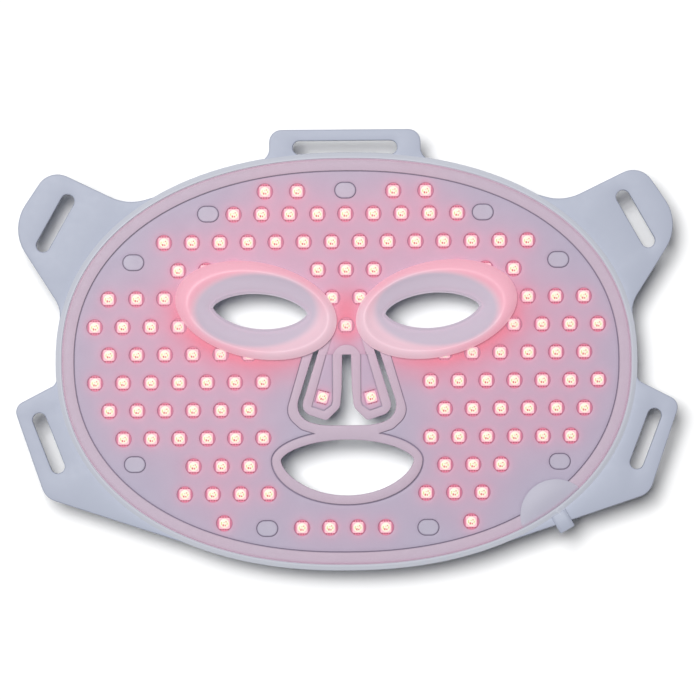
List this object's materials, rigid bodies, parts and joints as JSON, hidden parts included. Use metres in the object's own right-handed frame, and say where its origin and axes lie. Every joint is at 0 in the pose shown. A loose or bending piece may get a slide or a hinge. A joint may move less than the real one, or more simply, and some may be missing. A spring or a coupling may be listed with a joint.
{
  "type": "led face mask",
  "caption": "Flexible silicone face mask with lights behind a clear pad, soft eye cups, bending nose flaps, slotted strap tabs and a cable inlet.",
  "frame": {"origin": "centre of the outline, on the back face", "axes": "+X to the wearer's right, +Y towards the forehead, +Z out of the side that touches the face"},
  "size_m": [0.3006, 0.2004, 0.0115],
  "materials": {
    "cover_silicone": "satin silicone",
    "pad_silicone": "clear satin silicone",
    "cup_silicone": "milky translucent silicone",
    "post_silicone": "milky silicone",
    "reflector": "smooth lilac sheet",
    "flexible_circuit": "satin coverlay",
    "light_package": "white moulding",
    "light_lens": "resin",
    "patch_film": "milky film",
    "board": "solder mask",
    "resistor": "ceramic",
    "connector": "moulded nylon",
    "socket_plastic": "moulded",
    "contact_brass": "plated",
    "spring_steel": "plated",
    "lead_wire": "insulation"
  },
  "bodies": {
    "mask": {"back_cover": "cover_silicone", "flex_circuit": "flexible_circuit", "reflector_sheet": "reflector", "face_pad": "pad_silicone", "bonding_posts": "post_silicone", "lights_forehead": "light_package", "lights_bridge": "light_package", "lights_cheek_left": "light_package", "lights_cheek_right": "light_package", "lights_chin": "light_package", "lenses_forehead": "light_lens", "lenses_bridge": "light_lens", "lenses_cheek_left": "light_lens", "lenses_cheek_right": "light_lens", "lenses_chin": "light_lens", "inlet_patch": "patch_film", "junction_board": "board", "junction_resistors": "resistor", "junction_connector": "connector", "inlet_socket": "socket_plastic", "inlet_contact": "contact_brass", "inlet_spring": "spring_steel", "inlet_leads": "lead_wire"},
    "nose_flap_left": {"nose_flap_cover_left": "cover_silicone", "nose_flap_circuit_left": "flexible_circuit", "nose_flap_reflector_left": "reflector", "nose_flap_pad_left": "pad_silicone", "nose_light_left": "light_package", "nose_lens_left": "light_lens"},
    "nose_flap_right": {"nose_flap_cover_right": "cover_silicone", "nose_flap_circuit_right": "flexible_circuit", "nose_flap_reflector_right": "reflector", "nose_flap_pad_right": "pad_silicone", "nose_light_right": "light_package", "nose_lens_right": "light_lens"},
    "eye_cup_left": {"eye_cup_left": "cup_silicone"},
    "eye_cup_right": {"eye_cup_right": "cup_silicone"}
  },
  "joints": [
    {"name": "nose_flap_left_bend", "type": "hinge", "parent": "mask", "child": "nose_flap_left", "pos_m": [-0.01, -0.0046, 0.0023], "axis": [1, 0, 0], "range_deg": [-30, 50], "stiffness_Nm_per_rad": 0.02},
    {"name": "nose_flap_right_bend", "type": "hinge", "parent": "mask", "child": "nose_flap_right", "pos_m": [0.01, -0.0046, 0.0023], "axis": [1, 0, 0], "range_deg": [-30, 50], "stiffness_Nm_per_rad": 0.02},
    {"name": "eye_cup_left_lift", "type": "slide", "parent": "mask", "child": "eye_cup_left", "axis": [0, 0, 1], "range_m": [0, 0.02]},
    {"name": "eye_cup_right_lift", "type": "slide", "parent": "mask", "child": "eye_cup_right", "axis": [0, 0, 1], "range_m": [0, 0.02]}
  ]
}
